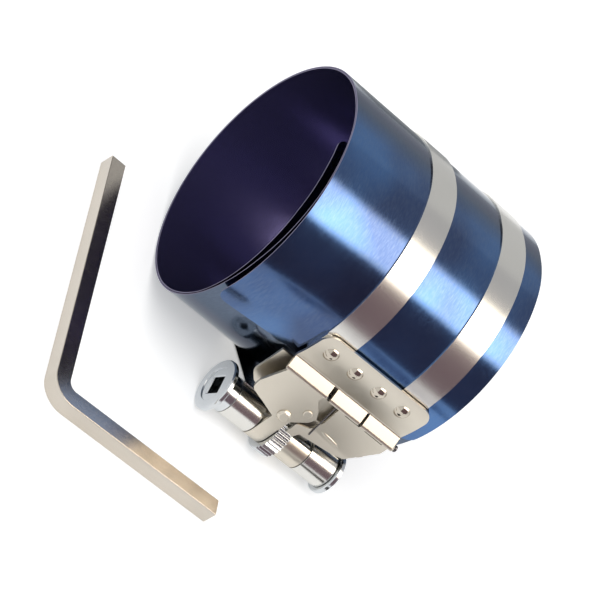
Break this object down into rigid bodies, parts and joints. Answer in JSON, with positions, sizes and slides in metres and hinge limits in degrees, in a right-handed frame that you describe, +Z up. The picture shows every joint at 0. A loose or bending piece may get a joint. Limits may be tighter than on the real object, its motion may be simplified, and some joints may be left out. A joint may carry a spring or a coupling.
{
  "type": "piston ring compressor",
  "caption": "Rolled spring steel sleeve with two tightening bands, wound up by a ratchet spindle under a hinged release lever, with its square key.",
  "frame": {"origin": "centre of the sleeve's bore at half its height", "axes": "+X along the sleeve's axis towards the rim beside the bands, which goes against the cylinder; +Z up as the tool lies; -Y towards the spindle's side"},
  "size_m": [0.118, 0.1387, 0.0924],
  "materials": {
    "blued_steel": "dark blued spring steel, smooth",
    "bright_band": "bright rolled strip",
    "nickel_sheet": "nickel plated sheet, satin",
    "zinc_steel": "bright zinc plated, turned",
    "key_steel": "nickel plated square bar"
  },
  "bodies": {
    "compressor": {"sleeve": "blued_steel", "band_far": "bright_band", "band_near": "bright_band", "bracket_cover": "nickel_sheet", "base_plate": "nickel_sheet", "clinch_rivets": "nickel_sheet", "spacer_rivet": "nickel_sheet", "spring_anchor": "nickel_sheet", "hinge_pin": "zinc_steel", "pawl_spring": "zinc_steel"},
    "spindle_set": {"spindle": "zinc_steel", "ratchet_wheel": "zinc_steel", "winding_far": "bright_band", "winding_near": "bright_band", "end_flange": "zinc_steel"},
    "lever": {"release_lever": "nickel_sheet"},
    "key_bar": {"key": "key_steel"}
  },
  "joints": [
    {"name": "spindle_turn", "type": "hinge", "parent": "compressor", "child": "spindle_set", "pos_m": [0.01135, -0.04862, -0.03651], "axis": [1, 0, 0], "continuous": true},
    {"name": "lever_lift", "type": "hinge", "parent": "compressor", "child": "lever", "pos_m": [0.0277, -0.0484, -0.01023], "axis": [-1, 0, 0], "range_deg": [0, 30], "stiffness_Nm_per_rad": 0.02, "springref_deg": -20.05, "deforming": ["pawl_spring"]},
    {"name": "key_lift", "type": "slide", "parent": "compressor", "child": "key_bar", "axis": [0, 0, 1], "range_m": [0, 0.12]}
  ]
}
